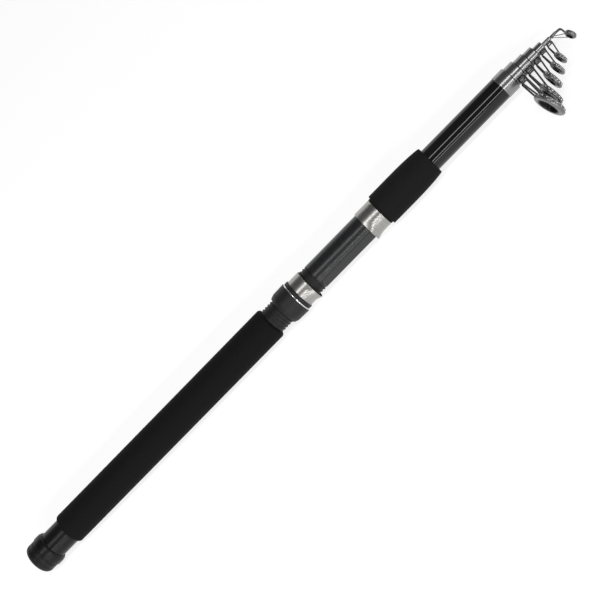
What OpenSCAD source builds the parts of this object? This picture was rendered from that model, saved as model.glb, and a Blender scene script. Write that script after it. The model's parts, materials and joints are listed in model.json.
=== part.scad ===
// Telescopic fishing rod, closed, lying along +X with its butt end at the origin.
// The line guides and the reel-foot bed face -Y. Sizes are in millimetres.

/* [Butt end] */
// Diameter of the butt cap
cap_d = 29.2; // [27:0.1:34]
// Length of the butt cap
cap_len = 12.3; // [11:0.1:26]
// Rounding of the cap's rear rim
cap_edge_r = 5; // [1:0.1:8]
// Diameter of the glossy collar in front of the cap
collar_d = 30.7; // [28:0.1:34]
// Length of the glossy collar
collar_len = 8.6; // [6:0.1:15]
// Length of the collar's rounded shoulder
collar_shoulder = 4.5; // [1:0.1:5]
// Length of bare tube between the collar and the rear grip
tube_show = 19.4; // [2:0.1:60]
// Length of the plug's head, which is moulded into the cap
plug_head_len = 6; // [4:0.1:10]
// Step from the plug's thread out to its head
plug_step = 1.9; // [1:0.1:2.5]
// Length of the plug's threaded spigot
plug_len = 12; // [8:0.5:20]
// Pitch of the plug's thread
plug_pitch = 2.5; // [2:0.1:3]
// Depth of the plug's thread
plug_thread_depth = 0.7; // [0.4:0.05:1]
// Wall of the threaded insert in the butt blank, outside its thread
butt_insert_wall = 1.15; // [0.8:0.05:1.5]
// Thickness of the soft pad that the closed sections stand on
pad_t = 2.6; // [1:0.1:6]

/* [Grips] */
// Diameter of the rear grip
rear_grip_d = 30; // [28:0.1:36]
// Length of the rear grip
rear_grip_len = 254.5; // [120:0.1:400]
// Diameter of the fore grip
fore_grip_d = 30.8; // [28:0.1:36]
// Diameter of the fore grip at its front end
fore_grip_front_d = 27; // [24:0.1:30]
// Length of the fore grip
fore_grip_len = 59.2; // [40:0.1:120]
// Length of the fore grip's straight part, behind its tapered front
fore_straight_len = 23.7; // [5:0.1:35]
// Rounding of the grips' edges
grip_edge_r = 2.4; // [0.5:0.1:3]
// Diameter of the fore grip's rear lip
fore_lip_d = 27.2; // [25:0.1:28]
// Length of the fore grip's rear lip
fore_lip_len = 2; // [1:0.1:5]

/* [Reel seat] */
// Wall of the seat's sleeve, under its thread
seat_wall = 1.1; // [0.8:0.05:1.6]
// Depth of the seat thread
thread_depth = 0.7; // [0.5:0.05:1]
// Pitch of the seat thread
thread_pitch = 3; // [2:0.1:4]
// Length of the threaded sleeve
thread_len = 53.6; // [45:0.1:80]
// Depth of the flat foot bed under the barrel's surface
bed_depth = 1; // [0.5:0.05:1.2]
// Length of bare barrel between the sleeve and the fixed hood
bed_len = 59.4; // [40:0.1:90]
// Height of the hood pockets over the foot bed, at the mouth
pocket_h = 4.2; // [3:0.1:6]
// Inside width of the hood pockets' roofs
pocket_w = 21.8; // [18:0.1:23]
// Wall of the moving hood's stainless shell
hood_wall = 0.4; // [0.3:0.05:1]
// Wall of the fixed hood
fixed_hood_wall = 1; // [0.5:0.05:1.5]
// Wall of the moving hood's plastic core
core_wall = 0.4; // [0.3:0.05:0.8]
// Length of the moving hood's stainless shell
hood_len = 11.8; // [8:0.1:20]
// Length of the fixed hood
fixed_hood_len = 16.5; // [14:0.1:25]
// Length of the fixed hood's pocket
fixed_pocket_len = 12.4; // [8:0.1:13]
// Diameter of the collar behind the moving hood
hood_collar_d = 29.4; // [28:0.1:32]
// Length of the collar behind the moving hood
hood_collar_len = 3; // [2:0.1:6]
// Diameter of the lock nut
nut_d = 31.2; // [30:0.1:36]
// Length of the lock nut without its trim ring
nut_len = 15.6; // [15:0.1:25]
// Length of the taper at the nut's rear end
nut_taper_len = 3.8; // [1:0.1:6]
// Drop in radius of the taper at the nut's rear end
nut_taper = 1.3; // [0.3:0.1:2]
// Step from the nut in to its trim ring
trim_step = 0.5; // [0:0.05:1]
// Length of the nut's trim ring
trim_len = 1.2; // [0.8:0.1:3]
// Gap left between the rear grip and the lock nut
nut_back = 13.8; // [1:0.1:20]

/* [Blanks] */
// Diameter of the solid tip section at its lower end
tip_d = 2.1; // [1.6:0.05:2.6]
// Taper in diameter of the tip section
tip_taper = 0.5; // [0:0.05:1]
// Wall of the butt blank at the butt
butt_wall = 1.2; // [0.8:0.05:1.5]
// Taper in diameter of the butt blank from the reel seat to its mouth
butt_taper = 0.4; // [0.1:0.05:0.8]
// Length of straight tube at both ends of the rear grip, before the butt blank's taper
taper_inset = 20; // [5:1:40]
// Bare blank between the fore grip and the first ferrule
blank_show = 81.7; // [20:0.1:200]
// Walls of the sections' mouths, from the butt to the sixth
wall = [1.05, 0.85, 0.75, 1.0, 0.8, 0.45]; // [0.3:0.05:1.5]
// Tapers in diameter of the second to sixth section
taper = [0.2, 1.0, 0.5, 2.6, 2.9]; // [0:0.05:4]

/* [Ferrules] */
// Wall of the silver ferrules
ferrule_wall = 0.3; // [0.2:0.05:0.6]
// Lengths of the ferrules, from the butt to the sixth section
ferrule_len = [11.2, 8.9, 9.2, 8.3, 7.5, 7.6]; // [6:0.1:15]
// Length of the lip in front of each blank's end
ferrule_lip = 0.3; // [0.2:0.05:1]
// Gap between neighbouring ferrules when closed
ferrule_gap = 0.6; // [0.3:0.1:3]

/* [Line guides] */
// Outside diameters of the guide hoops, second to sixth section
ring_d = [28.6, 23.2, 18.8, 14.6, 12.6]; // [8:0.1:40]
// Diameters of the seats that hold the inserts
ring_seat_d = [19.4, 15.2, 10.4, 9, 7]; // [4:0.1:30]
// Depths of the hoops along their axes
ring_depth = [5, 4.6, 4.4, 4, 3.8]; // [2:0.1:8]
// Distances of the ring centres from the rod's axis
ring_height = [45.6, 39.6, 31, 26.3, 21.2]; // [15:0.1:60]
// Places of the ring centres, ahead of the middle of their ferrules
ring_ahead = [-0.9, -3.5, -3.4, -2.6, -2.8]; // [-5:0.1:5]
// Lean of the rings towards the tip, in degrees
ring_lean = [16, 6, 6, 9, 11]; // [0:1:20]
// Diameters of the frame wires
wire_d = [1.6, 1.5, 1.4, 1.2, 1.1]; // [0.8:0.1:2]
// Stand-off of the frame's foot bars from the ferrule
foot_lift = [0, 0, 0, 0, 1.3]; // [0:0.1:2]
// Angle of each foot bar off the guide's middle plane, in degrees
foot_spread = 20; // [10:1:30]
// Wall of the black inserts
insert_wall = 1.5; // [1:0.1:2]
// How far an insert stands proud of each face of its hoop
insert_proud = 0.2; // [0:0.05:0.5]

/* [Tip-top] */
// Wall of the tip-top's tube
tip_tube_wall = 0.45; // [0.3:0.05:0.8]
// Length of the tip-top's tube
tip_tube_len = 6; // [4:0.1:10]
// Distance of the arms' bend ahead of the tube
tip_arm_len = 4.6; // [3:0.1:8]
// Outside diameter of the tip ring's hoop
tip_ring_d = 10.4; // [9:0.1:14]
// Diameter of the seat that holds the tip insert
tip_seat_d = 6.6; // [6:0.1:7]
// Depth of the tip ring's hoop
tip_ring_depth = 3.8; // [3:0.1:5]
// Distance of the tip ring's centre from the rod's axis
tip_ring_height = 12; // [9:0.1:16]
// Distance of the tip ring's centre ahead of the arms' bend
tip_ring_ahead = 1.4; // [0:0.1:3]
// Lean of the tip ring, in degrees
tip_lean = 24; // [10:1:35]
// Diameter of the tip-top's wires
tip_wire_d = 1.1; // [0.8:0.1:1.3]
// Wall of the tip insert
tip_insert_wall = 1.1; // [0.8:0.1:1.3]

/* [Hidden] */
$fn = 64;

// Clearances: glued pieces, pieces that meet end to end, thread flanks, sliding pieces, nested sections
glue_gap = 0.05;
seam = 0.1;
thread_gap = 0.3;
slide_gap = 0.3;
nest_gap = 0.15;
// Steps per turn of every thread
turn_steps = 24;
// Shares of the pitch that a thread ridge takes at its crest and at its root
crest_share = 0.3;
root_share = 0.65;
// Turns of a thread that run on before its start, and in all past its length, to be cut off
lead_turns = 1.43;
end_turns = 4;
// Points along a rounded edge
edge_steps = 8;
// Length of a chamfer that breaks a hard edge
break_edge = 0.3;
// How far a cut runs past the faces that it opens
cut = 1;

// Places along the rod, from the butt
plug_x1 = cap_len + plug_len;
pad_x0 = plug_x1 + glue_gap;
pad_x1 = pad_x0 + pad_t;
base_x = pad_x1 + slide_gap;
collar_x0 = cap_len + slide_gap;
collar_x1 = collar_x0 + collar_len;
rear_grip_x0 = collar_x1 + tube_show;
rear_grip_x1 = rear_grip_x0 + rear_grip_len;
sleeve_x0 = rear_grip_x1 + seam;
sleeve_x1 = sleeve_x0 + thread_len;
barrel_x0 = sleeve_x1 + seam;
fixed_hood_x0 = barrel_x0 + bed_len;
fixed_hood_x1 = fixed_hood_x0 + fixed_hood_len;
fore_grip_x0 = fixed_hood_x1 + seam;
fore_grip_x1 = fore_grip_x0 + fore_grip_len;
ferrule_start = fore_grip_x1 + blank_show;
nut_x0 = rear_grip_x1 + nut_back;
nut_x1 = nut_x0 + nut_len;
trim_x1 = nut_x1 + trim_len;
core_x0 = trim_x1 + slide_gap;
hood_x0 = core_x0 + hood_collar_len;
hood_x1 = hood_x0 + hood_len;
// The core's lip shows past the mouth of the moving hood
core_lip = 0.5;

// Sections, numbered from 0 at the butt. Each grows outwards from the one inside it.
tip = len(wall);
last_tube = tip - 1;
function base_d(k) = k == tip ? tip_d : mouth_d(k) + taper[k - 1];
function mouth_d(k) = mouth_bore(k) + 2 * wall[k];
function mouth_bore(k) = base_d(k + 1) + 2 * nest_gap;
function ferrule_d(k) = mouth_d(k) + 2 * (glue_gap + ferrule_wall);
function ferrule_x0(k) = k == 0 ? ferrule_start : ferrule_x1(k - 1) + ferrule_gap;
function ferrule_x1(k) = ferrule_x0(k) + ferrule_len[k];
function ferrule_mid(k) = (ferrule_x0(k) + ferrule_x1(k)) / 2;
function mouth_x(k) = ferrule_x1(k) - ferrule_lip - glue_gap;

// The plug's bore in the insert is wide enough for the second section to come out at the butt
plug_root_r = base_d(1) / 2 + nest_gap;
plug_r = plug_root_r + plug_thread_depth;
plug_head_r = plug_r + plug_step;
insert_r = plug_r + thread_gap + butt_insert_wall;
insert_x1 = base_x + seam;
butt_bore_r = insert_r + glue_gap;
butt_r = butt_bore_r + butt_wall;
seat_blank_r = (mouth_d(0) + butt_taper) / 2;

// Radii of the reel seat, from the blank out
sleeve_bore_r = seat_blank_r + glue_gap;
root_r = sleeve_bore_r + seat_wall;
seat_r = root_r + thread_depth;
bed_h = seat_r - bed_depth;

// The nut is held on the hood core by a bead on the core's spigot, in a recess behind the nut's front lip
core_in_r = seat_r + slide_gap;
spigot_r = core_in_r + core_wall;
bead_h = 0.5;
bead_r = spigot_r + bead_h;
bead_len = 1.4;
lip_len = 2.4;
recess_len = bead_len + 2 * slide_gap;
recess_x1 = nut_x1 - lip_len;
recess_x0 = recess_x1 - recess_len;

// Radii of the hoods: round part, and the pocket that rises to the mouth
shell_in_r = spigot_r + glue_gap;
shell_r = shell_in_r + hood_wall;
fixed_in_r = seat_r + glue_gap;
fixed_r = fixed_in_r + fixed_hood_wall;
roof_h = bed_h + pocket_h;
pocket_r = pocket_w / 2;
// The fixed hood's pocket closes here, and the bed ends there against the stop that the reel foot meets
pocket_end_x = fixed_hood_x0 + fixed_pocket_len;

tip_tube_x0 = ferrule_x1(last_tube) + ferrule_gap;
tip_tube_x1 = tip_tube_x0 + tip_tube_len;
tip_bend_x = tip_tube_x1 + tip_arm_len;
tip_end_r = (tip_d - tip_taper) / 2;
tip_tube_r = tip_end_r + glue_gap + tip_tube_wall;

// Outside of the butt blank, as [place, radius]
blank_line = [
    [collar_x0, butt_r],
    [rear_grip_x0 + taper_inset, butt_r],
    [rear_grip_x1 - taper_inset, seat_blank_r],
    [fore_grip_x1, seat_blank_r],
    [mouth_x(0), mouth_d(0) / 2]
];
function blank_r(x) = lookup(x, blank_line);
// Points of the blank's outside between two places, moved out by a gap
function blank_part(x0, x1, gap) = concat(
    [[blank_r(x0) + gap, x0]],
    [for (p = blank_line) if (p[0] > x0 && p[0] < x1) [p[1] + gap, p[0]]],
    [[blank_r(x1) + gap, x1]]
);
function flipped(points) = [for (i = [len(points) - 1 : -1 : 0]) points[i]];

// Points [radius, place] of a rounded edge about a centre
function edge_arc(r, x, edge_r, from, to) = [
    for (i = [0 : edge_steps])
        let (a = from + (to - from) * i / edge_steps)
        [r + edge_r * cos(a), x + edge_r * sin(a)]
];

// A solid turned about the rod's axis from points [radius, place]
module turned(points, facets = $fn) {
    rotate([0, 90, 0]) rotate_extrude($fn = facets) polygon(points);
}

// A round bar along +X
module bar(r, x0, x1) {
    translate([x0, 0, 0]) rotate([0, 90, 0]) cylinder(r = r, h = x1 - x0);
}

// A straight wire between two points
module wire(p, q, d) {
    v = q - p;
    length = norm(v);
    translate(p) rotate([0, acos(v[2] / length), atan2(v[1], v[0])]) cylinder(d = d, h = length);
}

// A brazed corner where wires meet, a little thicker than the wire
bead_share = 1.2;
module bend(p, d) {
    translate(p) sphere(d = d * bead_share);
}

// Two triangles of a strip between neighbouring lines of points
function strip(a, b, c, d) = [[a, b, c], [a, c, d]];
// Triangles that close a loop of points to one point on the axis
function fan(apex, loop) = [for (i = [0 : len(loop) - 1]) [apex, loop[i], loop[(i + 1) % len(loop)]]];

// A rod with a right-hand thread from before x0 to past x1, or the hole for it to turn in when gap is set
module screw(x0, x1, pitch, r_root, r_crest, gap = 0) {
    foot = pitch * root_share / 2 + gap;
    crest = pitch * crest_share / 2 + gap;
    profile = [[-foot, r_root + gap], [-crest, r_crest + gap], [crest, r_crest + gap], [foot, r_root + gap]];
    first = x0 - pitch * lead_turns;
    steps = (ceil((x1 - x0) / pitch) + end_turns) * turn_steps;
    helix = [
        for (i = [0 : steps], p = profile)
            let (a = 360 * i / turn_steps)
            [first + pitch * i / turn_steps + p[0], p[1] * cos(a), p[1] * sin(a)]
    ];
    ends = [[first - pitch, 0, 0], [first + pitch * (steps / turn_steps + 1), 0, 0]];
    at = function (i, j) 4 * i + j;
    ridge = [
        for (i = [0 : steps - 1], j = [0 : 2])
            each strip(at(i, j), at(i, j + 1), at(i + 1, j + 1), at(i + 1, j))
    ];
    root = [
        for (i = [0 : steps - turn_steps - 1])
            let (k = i + turn_steps)
            each strip(at(i, 3), at(k, 0), at(k + 1, 0), at(i + 1, 3))
    ];
    rear_loop = concat([for (i = [0 : turn_steps]) at(i, 0)], [at(0, 3), at(0, 2), at(0, 1)]);
    front_loop = concat(
        [for (i = [steps : -1 : steps - turn_steps]) at(i, 3)],
        [at(steps, 0), at(steps, 1), at(steps, 2)]
    );
    polyhedron(
        points = concat(helix, ends),
        faces = concat(ridge, root, fan(len(helix), rear_loop), fan(len(helix) + 1, front_loop))
    );
}

// A stretch of such a rod, cut square
module screw_part(x0, x1, pitch, r_root, r_crest, gap, from, to) {
    intersection() {
        screw(x0, x1, pitch, r_root, r_crest, gap);
        slab(from, to);
    }
}

// Joins thread and body into one faceted solid of the same size, with its facets in step with the thread
module threaded() {
    $fn = turn_steps;
    resize([0, 0, 0]) children();
}

// Radius of a faceted hole that clears a round piece of radius r
function clear_of(r) = r / cos(180 / turn_steps);

// Slab across the rod
module slab(x0, x1) {
    size = 4 * cap_d;
    translate([x0, -size / 2, -size / 2]) cube([x1 - x0, size, size]);
}

// Butt end

module butt_cap() {
    cap_r = cap_d / 2;
    recess_r = plug_head_r + glue_gap;
    recess_x = cap_len - plug_head_len - glue_gap;
    color([0.09, 0.09, 0.09])
        turned(concat(
            [[0, 0], [cap_r - cap_edge_r, 0]],
            edge_arc(cap_r - cap_edge_r, cap_edge_r, cap_edge_r, -90, 0),
            [[cap_r, cap_len - break_edge], [cap_r - break_edge, cap_len]],
            [[recess_r, cap_len], [recess_r, recess_x], [0, recess_x]]
        ));
}

module cap_plug() {
    color([0.13, 0.13, 0.13])
        threaded() {
            bar(plug_head_r, cap_len - plug_head_len, cap_len);
            screw_part(cap_len, plug_x1, plug_pitch, plug_root_r, plug_r, 0, cap_len - cut, plug_x1);
        }
}

module cap_pad() {
    color([0.2, 0.2, 0.2])
        turned([
            [0, pad_x0], [plug_root_r, pad_x0], [plug_root_r, pad_x1 - break_edge],
            [plug_root_r - break_edge, pad_x1], [0, pad_x1]
        ]);
}

module butt_insert() {
    color([0.13, 0.13, 0.13])
        threaded() difference() {
            bar(insert_r, collar_x0, insert_x1);
            screw(cap_len, insert_x1, plug_pitch, plug_root_r, plug_r, thread_gap);
        }
}

module butt_collar() {
    tube_r = butt_r + glue_gap;
    rim_r = collar_d / 2;
    shoulder_x = collar_x1 - collar_shoulder;
    // Degrees of the shoulder's arc before its straight edge
    shoulder_turn = 80;
    shoulder = [
        for (i = [0 : edge_steps])
            let (a = shoulder_turn * i / edge_steps)
            [tube_r + (rim_r - tube_r) * cos(a), shoulder_x + collar_shoulder * sin(a)]
    ];
    color([0.05, 0.05, 0.05])
        turned(concat(
            [[tube_r, collar_x0], [rim_r - break_edge, collar_x0]],
            shoulder,
            [[tube_r, shoulder_x + collar_shoulder * sin(shoulder_turn)]]
        ));
}

module butt_blank() {
    bore_line = [
        [mouth_bore(0) / 2, mouth_x(0)],
        [seat_blank_r - wall[0], fore_grip_x1],
        [seat_blank_r - wall[0], rear_grip_x1],
        [butt_bore_r, insert_x1],
        [butt_bore_r, collar_x0]
    ];
    color([0.04, 0.04, 0.04])
        turned(concat(blank_part(collar_x0, mouth_x(0), 0), bore_line));
}

// Grips

module rear_grip() {
    r = rear_grip_d / 2 - grip_edge_r;
    color([0.1, 0.1, 0.1])
        turned(concat(
            flipped(blank_part(rear_grip_x0, rear_grip_x1, glue_gap)),
            edge_arc(r, rear_grip_x0 + grip_edge_r, grip_edge_r, -90, 0),
            edge_arc(r, rear_grip_x1 - grip_edge_r, grip_edge_r, 0, 90)
        ));
}

module fore_grip() {
    r = fore_grip_d / 2;
    body_x0 = fore_grip_x0 + fore_lip_len;
    // The front part comes down to the front end in one long arc of an ellipse
    front_turn = 72;
    straight_x1 = body_x0 + fore_straight_len;
    drop = (r - fore_grip_front_d / 2) / (1 - cos(front_turn));
    run = (fore_grip_x1 - straight_x1) / sin(front_turn);
    front = [
        for (i = [0 : edge_steps])
            let (a = front_turn * i / edge_steps)
            [r - drop * (1 - cos(a)), straight_x1 + run * sin(a)]
    ];
    color([0.13, 0.13, 0.14])
        turned(concat(
            flipped(blank_part(fore_grip_x0, fore_grip_x1, glue_gap)),
            [[fore_lip_d / 2, fore_grip_x0], [fore_lip_d / 2, body_x0]],
            edge_arc(r - break_edge, body_x0 + break_edge, break_edge, -90, 0),
            front
        ));
}

// Reel seat

module threaded_sleeve() {
    color([0.12, 0.12, 0.12])
        threaded() difference() {
            screw_part(sleeve_x0, sleeve_x1, thread_pitch, root_r, seat_r, 0, sleeve_x0, sleeve_x1);
            bar(clear_of(sleeve_bore_r), sleeve_x0 - cut, sleeve_x1 + cut);
        }
}

module seat_barrel() {
    color([0.12, 0.12, 0.12])
        difference() {
            bar(seat_r, barrel_x0, fixed_hood_x1);
            bar(sleeve_bore_r, barrel_x0 - cut, fixed_hood_x1 + cut);
            translate([barrel_x0 - cut, -bed_h - seat_r, -seat_r])
                cube([pocket_end_x - barrel_x0 + cut, seat_r, 2 * seat_r]);
        }
}

// Pocket of a hood: a round roof that climbs from the rod's axis line to its full height at the mouth
module pocket(r, top, x_end, x_mouth, x_from, x_to) {
    rise = top - r;
    run = norm([x_mouth - x_end, rise]);
    past = 2 * top;
    intersection() {
        slab(x_from, x_to);
        translate([x_end, 0, 0])
            rotate([0, 0, atan2(-rise, x_mouth - x_end)])
                bar(r * abs(x_mouth - x_end) / run, -past, run + past);
    }
}

module hood_core() {
    color([0.1, 0.1, 0.1])
        difference() {
            union() {
                bar(hood_collar_d / 2, core_x0, hood_x0 - glue_gap);
                bar(spigot_r, recess_x0 + slide_gap, hood_x1 + core_lip);
                bar(bead_r, recess_x0 + slide_gap, recess_x0 + slide_gap + bead_len);
                pocket(
                    pocket_r + core_wall, roof_h + core_wall,
                    hood_x0, hood_x1, hood_x0, hood_x1 + core_lip
                );
            }
            bar(core_in_r, recess_x0 - cut, hood_x1 + core_lip + cut);
            pocket(pocket_r, roof_h, hood_x0, hood_x1, hood_x0, hood_x1 + core_lip + cut);
        }
}

module moving_hood() {
    shell_gap = core_wall + glue_gap;
    color([0.75, 0.75, 0.77])
        difference() {
            union() {
                bar(shell_r, hood_x0, hood_x1);
                pocket(
                    pocket_r + shell_gap + hood_wall, roof_h + shell_gap + hood_wall,
                    hood_x0, hood_x1, hood_x0, hood_x1
                );
            }
            bar(shell_in_r, hood_x0 - cut, hood_x1 + cut);
            pocket(pocket_r + shell_gap, roof_h + shell_gap, hood_x0, hood_x1, hood_x0 - cut, hood_x1 + cut);
        }
}

module fixed_hood() {
    outer_r = pocket_r + fixed_hood_wall;
    outer_h = roof_h + fixed_hood_wall;
    color([0.78, 0.78, 0.8])
        difference() {
            union() {
                bar(fixed_r, fixed_hood_x0, fixed_hood_x1);
                pocket(outer_r, outer_h, pocket_end_x, fixed_hood_x0, fixed_hood_x0, fixed_hood_x1);
            }
            bar(fixed_in_r, fixed_hood_x0 - cut, fixed_hood_x1 + cut);
            pocket(pocket_r, roof_h, pocket_end_x, fixed_hood_x0, fixed_hood_x0 - cut, pocket_end_x);
        }
}

module lock_nut() {
    r = nut_d / 2;
    color([0.1, 0.1, 0.1])
        threaded() difference() {
            turned([
                [0, nut_x0], [r - break_edge - nut_taper, nut_x0], [r - break_edge, nut_x0 + nut_taper_len],
                [r, nut_x1], [0, nut_x1]
            ], 2 * turn_steps);
            screw_part(
                sleeve_x0, sleeve_x1, thread_pitch, root_r, seat_r, thread_gap, nut_x0 - cut, recess_x0 + cut
            );
            bar(clear_of(bead_r + slide_gap), recess_x0, recess_x1);
            bar(clear_of(spigot_r + slide_gap), recess_x1 - cut, nut_x1 + cut);
        }
}

module nut_trim_ring() {
    r = nut_d / 2 - trim_step;
    color([0.8, 0.8, 0.82])
        turned([
            [spigot_r + slide_gap, nut_x1 + glue_gap], [r, nut_x1 + glue_gap],
            [r, trim_x1 - break_edge], [r - break_edge, trim_x1], [spigot_r + slide_gap, trim_x1]
        ]);
}

// Sections

module section_blank(k) {
    color([0.04, 0.04, 0.04])
        turned([
            [base_d(k) / 2, base_x], [mouth_d(k) / 2, mouth_x(k)],
            [mouth_bore(k) / 2, mouth_x(k)], [base_d(k) / 2 - wall[k], base_x]
        ]);
}

module section_7_tip() {
    color([0.04, 0.04, 0.04])
        turned([
            [0, base_x], [tip_d / 2, base_x],
            [tip_end_r, tip_tube_x0], [tip_end_r, tip_tube_x1 - break_edge], [0, tip_tube_x1 - break_edge]
        ]);
}

module ferrule(k) {
    r = ferrule_d(k) / 2;
    x0 = ferrule_x0(k);
    x1 = ferrule_x1(k);
    color([0.74, 0.74, 0.76])
        turned(concat(
            [[mouth_d(k) / 2 + glue_gap, x0], [r, x0]],
            edge_arc(r - ferrule_lip, x1 - ferrule_lip, ferrule_lip, 0, 90),
            [[mouth_bore(k) / 2, x1], [mouth_bore(k) / 2, x1 - ferrule_lip]],
            [[mouth_d(k) / 2 + glue_gap, x1 - ferrule_lip]]
        ));
}

// Line guides. Guide g sits on section g + 1, counted from 0 at the butt.

function ring_x(g) = ferrule_mid(g + 1) + ring_ahead[g];

// A point on a leaning ring: dx along its axis, at radius r, angle a from the side nearest the rod
function ring_point(x, height, lean, dx, r, a, side) =
    let (y = r * cos(a))
    [x + dx * cos(lean) - y * sin(lean), -height + dx * sin(lean) + y * cos(lean), side * r * sin(a)];

module at_ring(x, height, lean) {
    translate([x, -height, 0]) rotate([0, 0, lean]) children();
}

// Metal hoop: a deep band that is round on the outside and straight in the seat
module hoop(d, seat_d, depth) {
    round_r = (d - depth) / 2;
    rotate([0, 90, 0]) rotate_extrude() difference() {
        union() {
            translate([round_r, 0]) circle(d = depth);
            translate([0, -depth / 2]) square([round_r, depth]);
        }
        translate([0, -depth]) square([seat_d / 2, 2 * depth]);
    }
}

// Shares of an insert's depth that is a straight land, and of its wall that flares out to each face
land_share = 0.3;
flare_share = 0.7;

// Black insert: a straight land in the middle of the bore, rounded out to both faces
module insert(seat_d, depth, wall_t) {
    land = depth * land_share;
    flare = wall_t * flare_share;
    reach = (depth - land) / 2;
    bore_r = seat_d / 2 - wall_t;
    side = [
        for (i = [0 : edge_steps])
            let (a = 90 * i / edge_steps)
            [bore_r + flare * (1 - cos(a)), land / 2 + reach * sin(a)]
    ];
    turned(concat(
        [[seat_d / 2 - glue_gap, -depth / 2], [seat_d / 2 - glue_gap, depth / 2]],
        flipped(side),
        [for (p = side) [p[0], -p[1]]]
    ));
}

// Angles on the hoop where the legs meet it, and how far from the hoop's middle: one wire inside its faces
rear_leg_angle = 78;
front_leg_angle = 96;
function leg_r(g) = (ring_d[g] - ring_depth[g]) / 2;
function leg_dx(g) = ring_depth[g] / 2 - wire_d[g];

module guide_frame(g) {
    d = wire_d[g];
    corner_r = d * bead_share / 2;
    foot_r = ferrule_d(g + 1) / 2 + glue_gap + foot_lift[g] + corner_r;
    x0 = ferrule_x0(g + 1) + d;
    x1 = ferrule_x1(g + 1) - d;
    color([0.6, 0.6, 0.62]) {
        at_ring(ring_x(g), ring_height[g], ring_lean[g]) hoop(ring_d[g], ring_seat_d[g], ring_depth[g]);
        for (side = [-1, 1]) {
            y = -foot_r * cos(foot_spread);
            z = side * foot_r * sin(foot_spread);
            rear = [x0, y, z];
            front = [x1, y, z];
            rear_leg = ring_point(
                ring_x(g), ring_height[g], ring_lean[g], -leg_dx(g), leg_r(g), rear_leg_angle, side
            );
            front_leg = ring_point(
                ring_x(g), ring_height[g], ring_lean[g], leg_dx(g), leg_r(g), front_leg_angle, side
            );
            wire(rear_leg, rear, d);
            bend(rear, d);
            wire(rear, front, d);
            bend(front, d);
            wire(front, front_leg, d);
            // Short posts carry a foot bar that stands off its ferrule
            post_end = 1 - (foot_lift[g] + corner_r) / foot_r;
            if (foot_lift[g] > 0)
                for (p = [rear, front])
                    wire(p, [p[0], y * post_end, z * post_end], d);
        }
    }
}

module guide_insert(g) {
    color([0.03, 0.03, 0.03])
        at_ring(ring_x(g), ring_height[g], ring_lean[g])
            insert(ring_seat_d[g], ring_depth[g] + 2 * insert_proud, insert_wall);
}

// Tip-top

tip_ring_x = tip_bend_x + tip_ring_ahead;
// Angles on the tip ring where the arms and the braces meet it, and on the tube where the braces start
arm_angle = 30;
brace_angle = 95;
brace_root_angle = 45;

module tip_top_frame() {
    d = tip_wire_d;
    leg_r = (tip_ring_d + tip_seat_d) / 4;
    color([0.62, 0.62, 0.64])
        difference() {
            union() {
                bar(tip_tube_r, tip_tube_x0, tip_tube_x1);
                at_ring(tip_ring_x, tip_ring_height, tip_lean) hoop(tip_ring_d, tip_seat_d, tip_ring_depth);
                for (side = [-1, 1]) {
                    arm_root = [tip_tube_x1 - d, 0, side * tip_tube_r];
                    arm_bend = [tip_bend_x, -d / 2, side * tip_tube_r];
                    arm_end = ring_point(tip_ring_x, tip_ring_height, tip_lean, 0, leg_r, arm_angle, side);
                    brace_root = [
                        tip_tube_x0 + d,
                        -tip_tube_r * cos(brace_root_angle), side * tip_tube_r * sin(brace_root_angle)
                    ];
                    brace_end = ring_point(
                        tip_ring_x, tip_ring_height, tip_lean, 0, leg_r, brace_angle, side
                    );
                    bend(arm_root, d);
                    wire(arm_root, arm_bend, d);
                    bend(arm_bend, d);
                    wire(arm_bend, arm_end, d);
                    bend(brace_root, d);
                    wire(brace_root, brace_end, d);
                }
            }
            bar(tip_end_r + glue_gap, tip_tube_x0 - cut, tip_tube_x1 - break_edge + glue_gap);
        }
}

module tip_top_insert() {
    color([0.03, 0.03, 0.03])
        at_ring(tip_ring_x, tip_ring_height, tip_lean)
            insert(tip_seat_d, tip_ring_depth + 2 * insert_proud, tip_insert_wall);
}

butt_cap();
cap_plug();
cap_pad();
butt_insert();
butt_collar();
butt_blank();
rear_grip();
threaded_sleeve();
seat_barrel();
fixed_hood();
fore_grip();
ferrule(0);  // butt_ferrule
lock_nut();
nut_trim_ring();
hood_core();
moving_hood();
for (k = [1 : last_tube]) {
    section_blank(k);
    ferrule(k);
    guide_frame(k - 1);
    guide_insert(k - 1);
}
section_7_tip();
tip_top_frame();
tip_top_insert();
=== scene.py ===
import json
import math
from collections import namedtuple

import bpy
from mathutils import Matrix, Vector


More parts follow.
